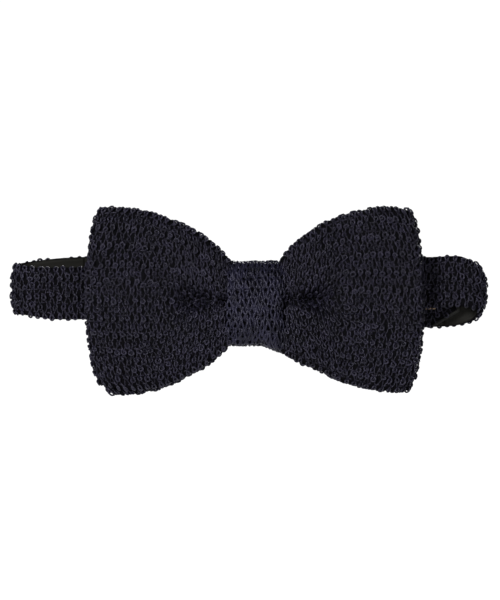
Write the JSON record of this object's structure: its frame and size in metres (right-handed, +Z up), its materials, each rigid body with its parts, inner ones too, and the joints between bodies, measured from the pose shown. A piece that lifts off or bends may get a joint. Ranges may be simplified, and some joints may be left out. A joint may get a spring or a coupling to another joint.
{
  "type": "knitted bow tie",
  "caption": "Ready-tied knitted bow with a knot wrap on a flat adjustable neckband, with a hook-and-eye clasp and a three-bar slider.",
  "frame": {"origin": "middle of the knot wrap's back face, which rests against the collar", "axes": "+Z up as worn, the bow faces -Y, +X along the band towards the slider side"},
  "size_m": [0.1685, 0.0326, 0.0655],
  "materials": {
    "bow_knit": "moss-stitch knit of silk-look yarn, dark navy",
    "wrap_knit": "stretched plain knit, ribbed columns, dark navy",
    "band_knit": "moss-stitch knit band, dark navy",
    "lining_tape": "smooth satin tape, near black",
    "navy_thread": "sewing thread",
    "tan_thread": "sewing thread, tan",
    "clasp_metal": "nickel-plated pressed steel, satin"
  },
  "bodies": {
    "bow": {"front_bow": "bow_knit", "back_bow": "bow_knit", "gathering_thread": "navy_thread", "knot_wrap": "wrap_knit", "wrap_seam": "navy_thread", "neckband_centre": "band_knit", "neckband_centre_lining": "lining_tape"},
    "left_front": {"left_front_band": "band_knit", "left_front_lining": "lining_tape"},
    "left_rear": {"left_rear_band": "band_knit", "left_rear_lining": "lining_tape", "hook_hem": "band_knit", "hook_tack": "navy_thread"},
    "hook": {"clasp_hook": "clasp_metal"},
    "right_front": {"right_front_band": "band_knit", "right_front_lining": "lining_tape", "edge_tack": "tan_thread"},
    "right_rear": {"right_rear_band": "band_knit", "right_rear_lining": "lining_tape"},
    "strap_loop": {"strap_loop_band": "band_knit", "strap_loop_lining": "lining_tape"},
    "slider": {"slider_frame": "clasp_metal", "strap_tail_band": "band_knit", "strap_tail_lining": "lining_tape", "slider_tack": "navy_thread"},
    "eye": {"clasp_eye": "clasp_metal"}
  },
  "joints": [
    {"name": "left_swing", "type": "hinge", "parent": "bow", "child": "left_front", "pos_m": [-0.014, -0.0023, 0.005], "axis": [0, 0, -1], "range_deg": [0, 80]},
    {"name": "left_fold", "type": "hinge", "parent": "left_front", "child": "left_rear", "pos_m": [-0.0869, 0.00315, 0.004], "axis": [0, 0, 1], "range_deg": [0, 160]},
    {"name": "hook_tilt", "type": "hinge", "parent": "left_rear", "child": "hook", "pos_m": [-0.01675, 0.0099, 0.00994], "axis": [-0.0732, 0, 0.9973], "range_deg": [-15, 45]},
    {"name": "right_swing", "type": "hinge", "parent": "bow", "child": "right_front", "pos_m": [0.014, -0.0023, 0.005], "axis": [0, 0, 1], "range_deg": [0, 80]},
    {"name": "right_fold", "type": "hinge", "parent": "right_front", "child": "right_rear", "pos_m": [0.0824, 0.00105, 0.004], "axis": [0, 0, -1], "range_deg": [0, 160]},
    {"name": "strap_size", "type": "slide", "parent": "right_rear", "child": "strap_loop", "axis": [-0.9972, 0, -0.075], "range_m": [0, 0.0165]},
    {"name": "slider_travel", "type": "slide", "parent": "strap_loop", "child": "slider", "axis": [-0.9972, 0, -0.075], "range_m": [0, 0.0165]},
    {"name": "eye_tilt", "type": "hinge", "parent": "strap_loop", "child": "eye", "pos_m": [0.01695, 0.0037, -0.00396], "axis": [-0.075, 0, 0.9972], "range_deg": [-15, 15]}
  ],
  "couplings": [
    {"joint": "left_swing", "follows": "left_fold", "ratio": 0.5},
    {"joint": "right_swing", "follows": "right_fold", "ratio": 0.5},
    {"joint": "slider_travel", "follows": "strap_size", "ratio": 1}
  ]
}
